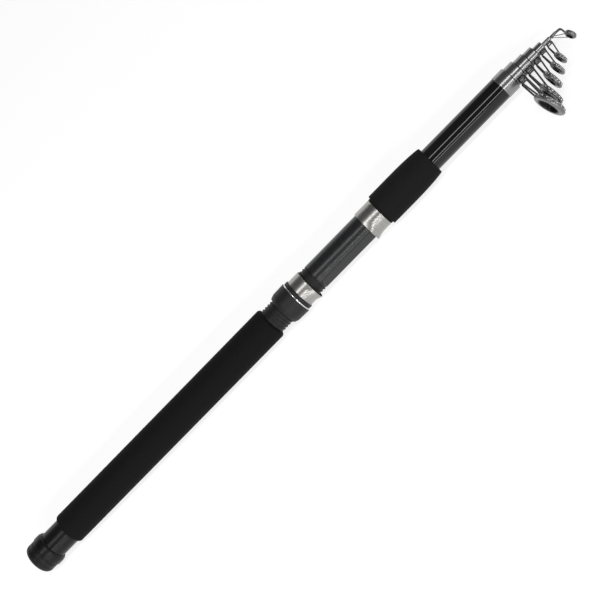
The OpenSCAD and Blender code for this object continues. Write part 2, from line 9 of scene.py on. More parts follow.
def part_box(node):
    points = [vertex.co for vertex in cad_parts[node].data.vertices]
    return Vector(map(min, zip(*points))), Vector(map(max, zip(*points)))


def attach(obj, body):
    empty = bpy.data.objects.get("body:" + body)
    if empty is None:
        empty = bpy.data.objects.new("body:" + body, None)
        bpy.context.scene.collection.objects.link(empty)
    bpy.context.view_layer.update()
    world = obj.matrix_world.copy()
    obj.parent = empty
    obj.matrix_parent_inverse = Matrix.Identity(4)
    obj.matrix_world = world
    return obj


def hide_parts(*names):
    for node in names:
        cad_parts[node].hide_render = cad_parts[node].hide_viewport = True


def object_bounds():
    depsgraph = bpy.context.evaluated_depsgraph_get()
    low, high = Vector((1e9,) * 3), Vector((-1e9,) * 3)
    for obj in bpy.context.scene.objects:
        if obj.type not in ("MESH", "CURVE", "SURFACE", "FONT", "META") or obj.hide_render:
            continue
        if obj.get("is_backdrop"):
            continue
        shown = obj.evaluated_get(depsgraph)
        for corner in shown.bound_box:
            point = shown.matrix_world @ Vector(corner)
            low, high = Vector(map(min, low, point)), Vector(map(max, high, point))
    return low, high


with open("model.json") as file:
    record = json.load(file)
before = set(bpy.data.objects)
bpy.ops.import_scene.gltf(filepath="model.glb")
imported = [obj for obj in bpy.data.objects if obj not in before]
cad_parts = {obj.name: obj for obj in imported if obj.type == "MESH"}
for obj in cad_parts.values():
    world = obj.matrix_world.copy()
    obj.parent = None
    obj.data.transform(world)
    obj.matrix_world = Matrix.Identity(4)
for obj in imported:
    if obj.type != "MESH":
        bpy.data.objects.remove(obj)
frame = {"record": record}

CAD_LOW, CAD_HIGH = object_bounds()
RECORD = frame["record"]
BODY = {node: body for body, nodes in RECORD["behaviour"]["bodies"].items() for node in nodes}
MOUNT = {mount["name"]: mount for mount in RECORD["mounts"]}
# Lengths of the rod are in millimetres and become metres when a mesh is made
MM = 0.001
# Room between two pieces that are fixed together
GLUE = 0.05
# Length along the rod of a step between two radii
STEP_LEN = 0.05


def span(node):
    """Start and end of a node along the rod, in millimetres."""
    low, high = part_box(node)
    return low.x / MM, high.x / MM


def radius(node):
    """Largest half width of a node, in millimetres."""
    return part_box(node)[1].z / MM


# Material tools

EVEN = (1, 1, 1)
# Most of a noise pattern lies between these values, which stand for the ends of a roughness or of a tint
NOISE_LOW, NOISE_HIGH = 0.3, 0.7
TINT_LOW, TINT_HIGH = 0.32, 0.68
RELIEF_DETAIL = 2


def tree_of(name):
    """A new material with its nodes and links."""
    made = bpy.data.materials.new(name)
    made.use_nodes = True
    return made, made.node_tree.nodes, made.node_tree.links


def noise(nodes, links, scale, stretch=EVEN, detail=4):
    """A noise pattern in the piece's own space, with a number of cells to the metre."""
    place = nodes.new("ShaderNodeTexCoord")
    mapping = nodes.new("ShaderNodeMapping")
    mapping.inputs["Scale"].default_value = stretch
    pattern = nodes.new("ShaderNodeTexNoise")
    pattern.inputs["Scale"].default_value = scale
    pattern.inputs["Detail"].default_value = detail
    links.new(place.outputs["Object"], mapping.inputs["Vector"])
    links.new(mapping.outputs["Vector"], pattern.inputs["Vector"])
    return pattern.outputs["Fac"]


def ranged(nodes, links, value, low, high, start=NOISE_LOW, end=NOISE_HIGH):
    """A value that goes from low to high while another goes from start to end."""
    node = nodes.new("ShaderNodeMapRange")
    for name, number in (("From Min", start), ("From Max", end), ("To Min", low), ("To Max", high)):
        node.inputs[name].default_value = number
    links.new(value, node.inputs["Value"])
    return node.outputs["Result"]


def combined(nodes, links, operation, first, second):
    """Two values put together by one operation."""
    node = nodes.new("ShaderNodeMath")
    node.operation = operation
    links.new(first, node.inputs[0])
    links.new(second, node.inputs[1])
    return node.outputs["Value"]


def tinted(nodes, links, value, dark, light):
    """A colour between dark and light that follows a value."""
    ramp = nodes.new("ShaderNodeValToRGB")
    first, last = ramp.color_ramp.elements
    first.position, last.position = TINT_LOW, TINT_HIGH
    first.color, last.color = (*dark, 1), (*light, 1)
    links.new(value, ramp.inputs["Fac"])
    return ramp.outputs["Color"]


BLUE_TRACE = 1.01


def grey(level):
    """A grey with a trace of blue."""
    return (level, level, level * BLUE_TRACE)


def finish(
    name, dark, light, rough, bump, grain=400, stretch=EVEN, detail=4, bump_grain=2500, bump_stretch=EVEN,
    height=0.00005, metal=0.0, ior=1.45, gloss=0.5,
):
    """A finish with uneven colour, uneven roughness, unless that is None, and a fine relief."""
    made, nodes, links = tree_of(name)
    shader = nodes["Principled BSDF"]
    shader.inputs["Metallic"].default_value = metal
    shader.inputs["IOR"].default_value = ior
    shader.inputs["Specular IOR Level"].default_value = gloss
    cloud = noise(nodes, links, grain, stretch, detail)
    links.new(tinted(nodes, links, cloud, dark, light), shader.inputs["Base Color"])
    if rough:
        links.new(ranged(nodes, links, cloud, *rough), shader.inputs["Roughness"])
    relief = nodes.new("ShaderNodeBump")
    relief.inputs["Strength"].default_value = bump
    relief.inputs["Distance"].default_value = height
    links.new(noise(nodes, links, bump_grain, bump_stretch, RELIEF_DETAIL), relief.inputs["Height"])
    links.new(relief.outputs["Normal"], shader.inputs["Normal"])
    return made


# Foam

PORES_PER_METRE = 1100
PORE_FLOOR, PORE_RIM = 0.05, 0.4
PORE_STRENGTH = 0.3
PORE_DEPTH = 0.0001


def foam(name, dark, light):
    """Closed-cell foam: a matte, grainy skin with pores in it."""
    made = finish(
        name, dark, light, (0.72, 0.86), bump=0.35, grain=260, bump_grain=2600, height=0.00012, gloss=0.14)
    nodes, links = made.node_tree.nodes, made.node_tree.links
    normal = nodes["Principled BSDF"].inputs["Normal"]
    place = nodes.new("ShaderNodeTexCoord")
    cells = nodes.new("ShaderNodeTexVoronoi")
    cells.inputs["Scale"].default_value = PORES_PER_METRE
    links.new(place.outputs["Object"], cells.inputs["Vector"])
    pores = nodes.new("ShaderNodeBump")
    pores.inputs["Strength"].default_value = PORE_STRENGTH
    pores.inputs["Distance"].default_value = PORE_DEPTH
    depth = ranged(nodes, links, cells.outputs["Distance"], 0, 1, PORE_FLOOR, PORE_RIM)
    links.new(depth, pores.inputs["Height"])
    links.new(normal.links[0].from_socket, pores.inputs["Normal"])
    links.new(pores.outputs["Normal"], normal)
    return made


FOAM_REAR = foam("foam_rear", grey(0.0045), grey(0.0075))
FOAM_FORE = foam("foam_fore", grey(0.0085), grey(0.012))
PAD_FOAM = foam("pad_foam", grey(0.02), grey(0.032))

# Lacquer

# Roughness and gloss go from the first value to the second between two places, in metres along the closed rod
WEAR_START, WEAR_END = 0.05, 0.48
WORN_ROUGH, CLEAN_ROUGH = 0.3, 0.07
WORN_GLOSS, CLEAN_GLOSS = 0.28, 0.5
STREAKS_PER_METRE = 220
STREAK_STRETCH = (0.2, 1, 1)
STREAK_ROUGH = (-0.01, 0.02)


def lacquer(name):
    """Black lacquer over a wound tube. Handling has dulled it towards its butt end."""
    made = finish(
        name, grey(0.004), grey(0.0075), None, bump=0.004, grain=90, stretch=(0.15, 1, 1), bump_grain=700,
        bump_stretch=(0.12, 1, 1), height=0.00001, ior=1.42)
    nodes, links = made.node_tree.nodes, made.node_tree.links
    shader = nodes["Principled BSDF"]
    place = nodes.new("ShaderNodeTexCoord")
    split = nodes.new("ShaderNodeSeparateXYZ")
    links.new(place.outputs["Object"], split.inputs["Vector"])
    rough = ranged(nodes, links, split.outputs["X"], WORN_ROUGH, CLEAN_ROUGH, WEAR_START, WEAR_END)
    gloss = ranged(nodes, links, split.outputs["X"], WORN_GLOSS, CLEAN_GLOSS, WEAR_START, WEAR_END)
    streaks = ranged(nodes, links, noise(nodes, links, STREAKS_PER_METRE, STREAK_STRETCH), *STREAK_ROUGH)
    links.new(combined(nodes, links, "ADD", rough, streaks), shader.inputs["Roughness"])
    links.new(gloss, shader.inputs["Specular IOR Level"])
    return made


BLANK = lacquer("blank_lacquer")

# Plastics and metals

# Marks of turning run round the rod, so they are fine along it
TURNED = (25, 1, 1)
BRUSHED = dict(
    bump=0.02, grain=25, stretch=TURNED, detail=1, bump_grain=40, bump_stretch=TURNED, height=0.00001,
    metal=1.0)
COLLAR = finish("collar_gloss", grey(0.004), grey(0.006), (0.3, 0.36), bump=0.05, ior=1.36, gloss=0.36)
CAP = finish(
    "cap_plastic", grey(0.0045), grey(0.007), (0.4, 0.5), bump=0.25, bump_grain=3200, height=0.00006,
    ior=1.36, gloss=0.38)
SEAT = finish(
    "seat_plastic", (0.0105, 0.011, 0.012), (0.015, 0.0158, 0.0172), (0.27, 0.32), bump=0.05, bump_grain=3000)
NUT = finish("nut_plastic", grey(0.009), grey(0.013), (0.46, 0.56), bump=0.2, bump_grain=3200, ior=1.36)
SILVER = finish("turned_silver", grey(0.25), grey(0.275), (0.246, 0.254), **BRUSHED)
STEEL = finish("brushed_steel", (0.325, 0.32, 0.305), (0.36, 0.355, 0.34), (0.305, 0.315), **BRUSHED)
BRIGHT = finish(
    "bright_trim", grey(0.55), grey(0.65), (0.2, 0.26), bump=0.03, grain=25, stretch=TURNED, metal=1.0)
SOLDER = finish("bright_solder", grey(0.8), grey(0.9), (0.16, 0.24), bump=0.03, grain=1500, metal=1.0)
HOOP = finish("hoop_metal", grey(0.15), grey(0.21), (0.3, 0.38), bump=0.06, grain=900, metal=1.0)
WIRE = finish("wire_plating", grey(0.075), grey(0.12), (0.3, 0.38), bump=0.06, grain=1200, metal=1.0)
CERAMIC = finish("insert_ceramic", grey(0.003), grey(0.005), (0.3, 0.36), bump=0.03, grain=900, ior=1.34)

# Shape tools

ROUND_SEGMENTS = 128
HOOD_SEGMENTS = 256
SLIM_SEGMENTS = 96
TIP_SEGMENTS = 48
BRAZE_SEGMENTS = 20
SHARP_ANGLE = 32


def new_piece(node, points, faces, materials, face_slots=None, sharp=SHARP_ANGLE):
    """A mesh that stands for a CAD node and moves with its body."""
    name = node + "_shape"
    mesh = bpy.data.meshes.new(name)
    mesh.from_pydata([Vector(point) * MM for point in points], [], faces)
    for material in materials:
        mesh.materials.append(material)
    if face_slots:
        mesh.polygons.foreach_set("material_index", face_slots)
    mesh.polygons.foreach_set("use_smooth", [True] * len(mesh.polygons))
    mesh.set_sharp_from_angle(angle=math.radians(sharp))
    mesh.validate()
    mesh.update()
    made = bpy.data.objects.new(name, mesh)
    bpy.context.scene.collection.objects.link(made)
    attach(made, BODY[node])
    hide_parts(node)
    return made


def loft_mesh(rings, segments):
    """Points and faces of a row of rings (place, radius) about the X axis that comes back to its start.
    A radius may be a function of place and angle, counted from -Y towards +Z, and 0 closes the form."""
    points, rows = [], []
    for x, r in rings:
        if r == 0:
            rows.append([len(points)])
            points.append((x, 0, 0))
            continue
        row = []
        for i in range(segments):
            angle = 2 * math.pi * i / segments
            here = r(x, angle) if callable(r) else r
            row.append(len(points))
            points.append((x, -here * math.cos(angle), here * math.sin(angle)))
        rows.append(row)
    faces = []
    for row, following in zip(rows, rows[1:] + rows[:1]):
        if len(row) == 1 and len(following) == 1:
            continue
        for i in range(segments):
            j = (i + 1) % segments
            if len(row) == 1:
                faces.append((row[0], following[i], following[j]))
            elif len(following) == 1:
                faces.append((row[i], following[0], row[j]))
            else:
                faces.append((row[i], following[i], following[j], row[j]))
    return points, faces


def loft(node, rings, material, segments=ROUND_SEGMENTS, sharp=SHARP_ANGLE):
    """A piece made of rings that stands for a CAD node."""
    points, faces = loft_mesh(rings, segments)
    return new_piece(node, points, faces, [material], sharp=sharp)


def arc(x, r, size, start, end, count):
    """Rings of a rounded edge about a centre, from one angle to another in degrees."""
    turns = [math.radians(start + (end - start) * i / count) for i in range(count + 1)]
    return [(x + size * math.sin(angle), r + size * math.cos(angle)) for angle in turns]


def steps(x0, x1, size):
    """Places from x0 to x1 that lie about a size apart."""
    count = max(1, round((x1 - x0) / size))
    return [x0 + (x1 - x0) * i / count for i in range(count + 1)]


def clamp(value):
    """A value kept between 0 and 1."""
    return min(1, max(0, value))


def ease(value):
    """A step from 0 to 1 with a soft start and end."""
    value = clamp(value)
    return value * value * (3 - 2 * value)


# Shares of the pitch that a thread takes at its foot and at its top
THREAD_FOOT, THREAD_TOP = 0.65, 0.3
# A thread is counted from a place this many turns behind its piece
LEAD = 1.43
THREAD_GAP = 0.3
THREAD_RINGS_PER_TURN = 25
# An inner thread goes on past both ends of its piece, so it runs out in neither
THREAD_PAST = 5


def thread(first, pitch, root, crest, x0, x1, gap=0.0, run_out=1.0):
    """Radius of a right-hand thread at a place and an angle. It runs out towards x0 and x1."""
    foot = pitch * THREAD_FOOT / 2 + gap
    top = pitch * THREAD_TOP / 2 + gap

    def at(x, angle):
        phase = ((x - first) / pitch - (math.pi - angle) / (2 * math.pi)) % 1
        off = min(phase, 1 - phase) * pitch
        ends = clamp((x - x0) / run_out) * clamp((x1 - x) / run_out)
        return root + gap + (crest - root) * ease((foot - off) / (foot - top)) * ends

    return at


# Tubes, from the butt to the last one before the tip: diameters at the mouth and the base, and the wall

Tube = namedtuple("Tube", "name mouth_d bore_d base_d wall")
TUBES = [
    Tube("butt", 20.9, 18.8, 25.6, 1.05),
    Tube("section_2", 18.3, 16.6, 18.5, 0.85),
    Tube("section_3", 15.3, 13.8, 16.3, 0.75),
    Tube("section_4", 13.0, 11.0, 13.5, 1.0),
    Tube("section_5", 8.1, 6.5, 10.7, 0.8),
    Tube("section_6", 3.3, 2.4, 6.2, 0.45),
]
BUTT = TUBES[0]
BUTT_R = BUTT.base_d / 2

# Butt end

CAP_X1 = span("butt_cap")[1]
CAP_R = radius("butt_cap")
HEAD_X0, PLUG_X1 = span("cap_plug")
HEAD_R = radius("cap_plug")
# The pad is as wide as the root of the plug's thread
ROOT_R = radius("cap_pad")
INSERT_X0, INSERT_X1 = span("butt_insert")
INSERT_R = radius("butt_insert")
CAP_ROUND = 5
# Sunken disc in the cap's face, as (depth, radius)
CAP_DISC = [(0.35, 0), (0.35, 6.2), (0.2, 6.6), (0, 7.0)]
# Groove, band and step on the cap's side, as (distance behind the front edge, depth under the full radius)
CAP_SIDE = [
    (6, 0), (5.88, 0.12), (5.75, 0.22), (5.6, 0.12), (5.45, 0.06),
    (1.8, 0.06), (1.55, 0.1), (1.4, 0.34), (0.3, 0.4), (0, 0.65),
]
loft("butt_cap", [
    *CAP_DISC,
    *arc(CAP_ROUND, CAP_R - CAP_ROUND, CAP_ROUND, -90, 0, 14),
    *[(CAP_X1 - behind, CAP_R - under) for behind, under in CAP_SIDE],
    (CAP_X1, HEAD_R + GLUE), (HEAD_X0 - GLUE, HEAD_R + GLUE), (HEAD_X0 - GLUE, 0),
], CAP)

PLUG_PITCH = 2.5
PLUG_THREAD_DEPTH = 0.7
PLUG_EDGE = 0.3
plug_crest_r = ROOT_R + PLUG_THREAD_DEPTH
plug_step = PLUG_PITCH / THREAD_RINGS_PER_TURN
plug_first = CAP_X1 - PLUG_PITCH * LEAD
plug_thread = thread(plug_first, PLUG_PITCH, ROOT_R, plug_crest_r, CAP_X1, PLUG_X1)
loft("cap_plug", [
    (HEAD_X0, 0), (HEAD_X0, HEAD_R), (CAP_X1, HEAD_R), (CAP_X1, ROOT_R),
    *[(x, plug_thread) for x in steps(CAP_X1 + STEP_LEN, PLUG_X1 - PLUG_EDGE, plug_step)],
    (PLUG_X1, ROOT_R - PLUG_EDGE), (PLUG_X1, 0),
], SEAT)

insert_thread = thread(
    plug_first, PLUG_PITCH, ROOT_R, plug_crest_r, INSERT_X0 - THREAD_PAST, INSERT_X1 + THREAD_PAST,
    gap=THREAD_GAP)
loft("butt_insert", [
    (INSERT_X0, INSERT_R), (INSERT_X1, INSERT_R),
    *[(x, insert_thread) for x in reversed(steps(INSERT_X0, INSERT_X1, plug_step))],
], SEAT)

PAD_X0, PAD_X1 = span("cap_pad")
PAD_BACK_ROUND = 0.4
PAD_FRONT_ROUND = 0.7
# The soft front face has a ring at this share of its radius
PAD_RING_SHARE = 0.4
pad = loft("cap_pad", [
    (PAD_X0, 0),
    *arc(PAD_X0 + PAD_BACK_ROUND, ROOT_R - PAD_BACK_ROUND, PAD_BACK_ROUND, -90, 0, 5),
    *arc(PAD_X1 - PAD_FRONT_ROUND, ROOT_R - PAD_FRONT_ROUND, PAD_FRONT_ROUND, 0, 90, 6),
    (PAD_X1, ROOT_R * PAD_RING_SHARE), (PAD_X1, 0),
], PAD_FOAM)

COLLAR_X0, COLLAR_X1 = span("butt_collar")
COLLAR_R = radius("butt_collar")
COLLAR_EDGE = 0.4
# The flat rear face ends this far under the full radius
COLLAR_FACE = 0.5
# The shoulder is a quarter of an oval whose tip would end at this length
COLLAR_LEN = 8.6
SHOULDER_LEN = 4.5
collar_bore = BUTT_R + GLUE
shoulder_x0 = COLLAR_X0 + COLLAR_LEN - SHOULDER_LEN
loft("butt_collar", [
    (COLLAR_X0, collar_bore), (COLLAR_X0, COLLAR_R - COLLAR_FACE),
    *arc(COLLAR_X0 + COLLAR_EDGE, COLLAR_R - COLLAR_EDGE, COLLAR_EDGE, -80, 0, 5),
    *[(shoulder_x0 + SHOULDER_LEN * math.sin(angle), collar_bore + (COLLAR_R - collar_bore) * math.cos(angle))
      for angle in map(math.radians, range(8, 81, 6))],
    (COLLAR_X1, collar_bore),
], COLLAR)

# Blanks and ferrules

GRIP_X0, GRIP_X1 = span("rear_grip")
FORE_X0, FORE_X1 = span("fore_grip")
SEAT_BLANK_R = 10.65
# The butt blank tapers inside the rear grip, this far from its ends
TAPER_INSET = 20
BUTT_MOUTH_X = span("butt_blank")[1]
loft("butt_blank", [
    (COLLAR_X0, BUTT_R), (GRIP_X0 + TAPER_INSET, BUTT_R), (GRIP_X1 - TAPER_INSET, SEAT_BLANK_R),
    (FORE_X1, SEAT_BLANK_R), (BUTT_MOUTH_X, BUTT.mouth_d / 2), (BUTT_MOUTH_X, BUTT.bore_d / 2),
    (FORE_X1, SEAT_BLANK_R - BUTT.wall), (GRIP_X1, SEAT_BLANK_R - BUTT.wall),
    (INSERT_X1, INSERT_R + GLUE), (COLLAR_X0, INSERT_R + GLUE),
], BLANK)

BLANK_EDGE = 0.15
for tube in TUBES[1:]:
    x0, x1 = span(f"{tube.name}_blank")
    base_r, mouth_r = tube.base_d / 2, tube.mouth_d / 2
    loft(f"{tube.name}_blank", [
        (x0, base_r - BLANK_EDGE), (x0 + BLANK_EDGE, base_r),
        (x1 - BLANK_EDGE, mouth_r), (x1, mouth_r - BLANK_EDGE),
        (x1, tube.bore_d / 2), (x0, base_r - tube.wall),
    ], BLANK, SLIM_SEGMENTS)

TIP_X0, TIP_X1 = span("section_7_tip")
TIP_TUBE_X0 = span("tip_top_frame")[0]
TIP_BASE_R = 1.05
TIP_BASE_EDGE_LEN = 0.2
TIP_R = 0.8
loft("section_7_tip", [
    (TIP_X0, 0), (TIP_X0, TIP_BASE_R - BLANK_EDGE), (TIP_X0 + TIP_BASE_EDGE_LEN, TIP_BASE_R),
    (TIP_TUBE_X0, TIP_R), (TIP_X1, TIP_R), (TIP_X1, 0),
], BLANK, TIP_SEGMENTS)

FERRULE_LIP = 0.3
FERRULE_EDGE = 0.12
for tube in TUBES:
    node = f"{tube.name}_ferrule"
    x0, x1 = span(node)
    r = radius(node)
    inside, bore = tube.mouth_d / 2 + GLUE, tube.bore_d / 2
    lip_x = x1 - FERRULE_LIP
    loft(node, [
        (x0, inside), (x0, r - FERRULE_EDGE), (x0 + FERRULE_EDGE, r), (lip_x, r),
        *arc(lip_x, r - FERRULE_LIP, FERRULE_LIP, 10, 90, 6),
        (x1, bore), (lip_x, bore), (lip_x, inside),
    ], SILVER)

# Grips

GRIP_R = radius("rear_grip")
GRIP_EDGE = 2.4
# The soft sleeve has rings about this far apart
GRIP_RING_STEP = 8
rear = loft("rear_grip", [
    (GRIP_X0, BUTT_R + GLUE),
    *arc(GRIP_X0 + GRIP_EDGE, GRIP_R - GRIP_EDGE, GRIP_EDGE, -82, 0, 12),
    *[(x, GRIP_R) for x in steps(GRIP_X0 + GRIP_RING_STEP, GRIP_X1 - GRIP_RING_STEP, GRIP_RING_STEP)],
    *arc(GRIP_X1 - GRIP_EDGE, GRIP_R - GRIP_EDGE, GRIP_EDGE, 0, 90, 12),
    (GRIP_X1, SEAT_BLANK_R + GLUE), (GRIP_X1 - TAPER_INSET, SEAT_BLANK_R + GLUE),
    (GRIP_X0 + TAPER_INSET, BUTT_R + GLUE),
], FOAM_REAR)

FORE_R = radius("fore_grip")
FORE_FRONT_R = 13.5
FORE_FRONT_EDGE = 0.5
# The grip is this much wider where its front edge begins
FORE_FRONT_RISE = 0.05
FORE_LIP_R = 13.6
FORE_LIP_LEN = 2
FORE_LIP_EDGE = 0.3
FORE_BACK_ROUND = 0.6
FORE_STRAIGHT_LEN = 23.7
# The front tapers along an oval, up to this angle
FORE_TURN = math.radians(72)
FORE_TAPER_RINGS = 24
fore_body_x0 = FORE_X0 + FORE_LIP_LEN
fore_taper_x0 = fore_body_x0 + FORE_STRAIGHT_LEN
fore_drop = (FORE_R - FORE_FRONT_R) / (1 - math.cos(FORE_TURN))
fore_run = (FORE_X1 - fore_taper_x0) / math.sin(FORE_TURN)
fore_angles = [FORE_TURN * i / FORE_TAPER_RINGS for i in range(FORE_TAPER_RINGS)]
fore = loft("fore_grip", [
    (FORE_X0, SEAT_BLANK_R + GLUE), (FORE_X0, FORE_LIP_R - FORE_LIP_EDGE),
    (FORE_X0 + FORE_LIP_EDGE, FORE_LIP_R), (fore_body_x0, FORE_LIP_R),
    *arc(fore_body_x0 + FORE_BACK_ROUND, FORE_R - FORE_BACK_ROUND, FORE_BACK_ROUND, -90, 0, 6),
    *[(fore_taper_x0 + fore_run * math.sin(angle), FORE_R - fore_drop * (1 - math.cos(angle)))
      for angle in fore_angles],
    (FORE_X1 - FORE_FRONT_EDGE, FORE_FRONT_R + FORE_FRONT_RISE), (FORE_X1, FORE_FRONT_R - FORE_FRONT_EDGE),
    (FORE_X1, SEAT_BLANK_R + GLUE),
], FOAM_FORE)

# Reel seat: sleeve and barrel

SLEEVE_X0, SLEEVE_X1 = span("threaded_sleeve")
SLEEVE_BORE = 10.7
SEAT_R = 12.5
SEAT_ROOT_R = 11.8
SEAT_PITCH = 3.0
seat_step = SEAT_PITCH / THREAD_RINGS_PER_TURN
seat_first = SLEEVE_X0 - SEAT_PITCH * LEAD
sleeve_thread = thread(seat_first, SEAT_PITCH, SEAT_ROOT_R, SEAT_R, SLEEVE_X0, SLEEVE_X1, run_out=0.8)
loft("threaded_sleeve", [
    *[(x, sleeve_thread) for x in steps(SLEEVE_X0, SLEEVE_X1, seat_step)],
    (SLEEVE_X1, SLEEVE_BORE), (SLEEVE_X0, SLEEVE_BORE),
], NUT, SLIM_SEGMENTS)

BARREL_X0, BARREL_X1 = span("seat_barrel")
HOOD_X0, HOOD_X1 = span("fixed_hood")
POCKET_LEN = 12.4
pocket_end = HOOD_X0 + POCKET_LEN
# Flat bed for a reel's foot: its height over the axis, where it starts, and how much later at its corners
BED_H = 11.5
BED_START = 0.9
BED_CORNER = 1.5
# Lengths over which the bed goes down at its start and comes up at its end
BED_RAMP = 1.2
BED_END_RAMP = 0.3
BED_SHARP_ANGLE = 24
# The bed's ends have close rings: up to here from its start, and from here before its end to here past it
BED_RING_STEP = 0.15
BED_START_LEN = 5
BED_END_LEN = 1
BED_END_PAST = 0.2
BED_HALF = math.sqrt(SEAT_R ** 2 - BED_H ** 2)


def barrel_r(x, angle):
    """Round barrel with a flat bed that starts with rounded corners and ends under the fixed hood."""
    facing = math.cos(angle)
    if facing <= 0:
        return SEAT_R
    side = min(1, abs(SEAT_R * math.sin(angle)) / BED_HALF)
    start = ease((x - BARREL_X0 - BED_START - BED_CORNER * side ** 4) / BED_RAMP)
    depth = start * ease((pocket_end - x) / BED_END_RAMP)
    return min(SEAT_R, (SEAT_R - (SEAT_R - BED_H) * depth) / facing)


loft("seat_barrel", [
    *[(x, barrel_r) for x in steps(BARREL_X0, BARREL_X0 + BED_START_LEN, BED_RING_STEP)],
    *[(x, barrel_r) for x in steps(pocket_end - BED_END_LEN, pocket_end + BED_END_PAST, BED_RING_STEP)],
    (BARREL_X1, SEAT_R), (BARREL_X1, SLEEVE_BORE), (BARREL_X0, SLEEVE_BORE),
], SEAT, HOOD_SEGMENTS, BED_SHARP_ANGLE)

# Reel seat: hoods

POCKET_R = 10.9
ROOF_H = 15.7
HOOD_RING_STEP = 0.4
INNER_BLEND = 0.3


def hood_r(round_r, wall, x_end, x_mouth, blend=0.7):
    """Radius of a hood: a round ring joined to a roof that climbs from x_end to x_mouth on the -Y side.
    The roof's section is an oval whose centre climbs with it."""
    rise = ROOF_H - POCKET_R
    half_y = POCKET_R + wall
    half_z = half_y * abs(x_mouth - x_end) / math.hypot(x_mouth - x_end, rise)

    def at(x, angle):
        climb = rise * (x - x_end) / (x_mouth - x_end)
        cosine, sine = math.cos(angle), math.sin(angle)
        square = cosine * cosine / half_y ** 2 + sine * sine / half_z ** 2
        linear = climb * cosine / half_y ** 2
        constant = climb * climb / half_y ** 2 - 1
        roof = (linear + math.sqrt(max(0, linear ** 2 - square * constant))) / square
        near = max(0, blend - abs(roof - round_r)) / blend
        return max(roof, round_r) + near * near * blend / 4

    return at


def inset(shape, amount):
    """A radius made smaller by an amount all round."""
    return lambda x, angle: shape(x, angle) - amount


FIXED_IN = SEAT_R + GLUE
FIXED_WALL = 1.0
FIXED_BLEND = 1.2
# An edge is rounded over this length and depth, by way of a ring with this smaller length and depth
FIXED_EDGE = 0.25
FIXED_EDGE_MIDDLE = 0.08
fixed_out = hood_r(FIXED_IN + FIXED_WALL, FIXED_WALL, pocket_end, HOOD_X0, FIXED_BLEND)
fixed_in = hood_r(FIXED_IN, 0, pocket_end, HOOD_X0, INNER_BLEND)
fixed_edge = inset(fixed_out, FIXED_EDGE)
fixed_edge_middle = inset(fixed_out, FIXED_EDGE_MIDDLE)
loft("fixed_hood", [
    (HOOD_X0, fixed_edge), (HOOD_X0 + FIXED_EDGE_MIDDLE, fixed_edge_middle),
    *[(x, fixed_out) for x in steps(HOOD_X0 + FIXED_EDGE, HOOD_X1 - FIXED_EDGE, HOOD_RING_STEP)],
    (HOOD_X1 - FIXED_EDGE_MIDDLE, fixed_edge_middle), (HOOD_X1, fixed_edge),
    (HOOD_X1, FIXED_IN), (pocket_end + STEP_LEN, FIXED_IN),
    *[(x, fixed_in) for x in reversed(steps(HOOD_X0, pocket_end, HOOD_RING_STEP))],
], STEEL, HOOD_SEGMENTS)

MOVING_X0, MOVING_X1 = span("moving_hood")
CORE_X0, CORE_X1 = span("hood_core")
SLIDE_GAP = 0.3
CORE_IN = SEAT_R + SLIDE_GAP
CORE_WALL = 0.4
SPIGOT_R = CORE_IN + CORE_WALL
BEAD_H = 0.5
BEAD_R = SPIGOT_R + BEAD_H
BEAD_LEN = 1.4
BEAD_EDGE = 0.3
HOOD_COLLAR_R = 14.7
HOOD_COLLAR_LEN = 3
HOOD_COLLAR_ROUND = 0.5
# The collar's front edge is cut back from here behind the hood, to this depth
HOOD_COLLAR_CUT_LEN = 0.6
HOOD_COLLAR_CUT = 0.45
MOUTH_EDGE = 0.15
collar_back = MOVING_X0 - HOOD_COLLAR_LEN
core_out = hood_r(SPIGOT_R, CORE_WALL, MOVING_X0, MOVING_X1)
core_in = hood_r(CORE_IN, 0, MOVING_X0, MOVING_X1, INNER_BLEND)
loft("hood_core", [
    (CORE_X0, CORE_IN), (CORE_X0, BEAD_R - BEAD_EDGE), (CORE_X0 + BEAD_EDGE, BEAD_R),
    (CORE_X0 + BEAD_LEN, BEAD_R), (CORE_X0 + BEAD_LEN, SPIGOT_R),
    (collar_back, SPIGOT_R), (collar_back, HOOD_COLLAR_R - HOOD_COLLAR_ROUND),
    *arc(collar_back + HOOD_COLLAR_ROUND, HOOD_COLLAR_R - HOOD_COLLAR_ROUND, HOOD_COLLAR_ROUND, -80, 0, 5),
    (MOVING_X0 - HOOD_COLLAR_CUT_LEN, HOOD_COLLAR_R),
    (MOVING_X0 - GLUE, HOOD_COLLAR_R - HOOD_COLLAR_CUT), (MOVING_X0 - GLUE, SPIGOT_R),
    *[(x, core_out) for x in steps(MOVING_X0, CORE_X1 - MOUTH_EDGE, HOOD_RING_STEP)],
    (CORE_X1, inset(core_out, MOUTH_EDGE)),
    *[(x, core_in) for x in reversed(steps(MOVING_X0, CORE_X1, HOOD_RING_STEP))],
], NUT, HOOD_SEGMENTS)

SHELL_WALL = 0.4
shell_gap = CORE_WALL + GLUE
shell_out = hood_r(SPIGOT_R + GLUE + SHELL_WALL, shell_gap + SHELL_WALL, MOVING_X0, MOVING_X1)
shell_in = hood_r(SPIGOT_R + GLUE, shell_gap, MOVING_X0, MOVING_X1)
shell_edge = inset(shell_out, MOUTH_EDGE)
loft("moving_hood", [
    (MOVING_X0, shell_edge),
    *[(x, shell_out) for x in steps(MOVING_X0 + MOUTH_EDGE, MOVING_X1 - MOUTH_EDGE, HOOD_RING_STEP)],
    (MOVING_X1, shell_edge),
    *[(x, shell_in) for x in reversed(steps(MOVING_X0, MOVING_X1, HOOD_RING_STEP))],
], STEEL, HOOD_SEGMENTS)

# Reel seat: nut

NUT_X0, NUT_X1 = span("lock_nut")
NUT_R = radius("lock_nut")
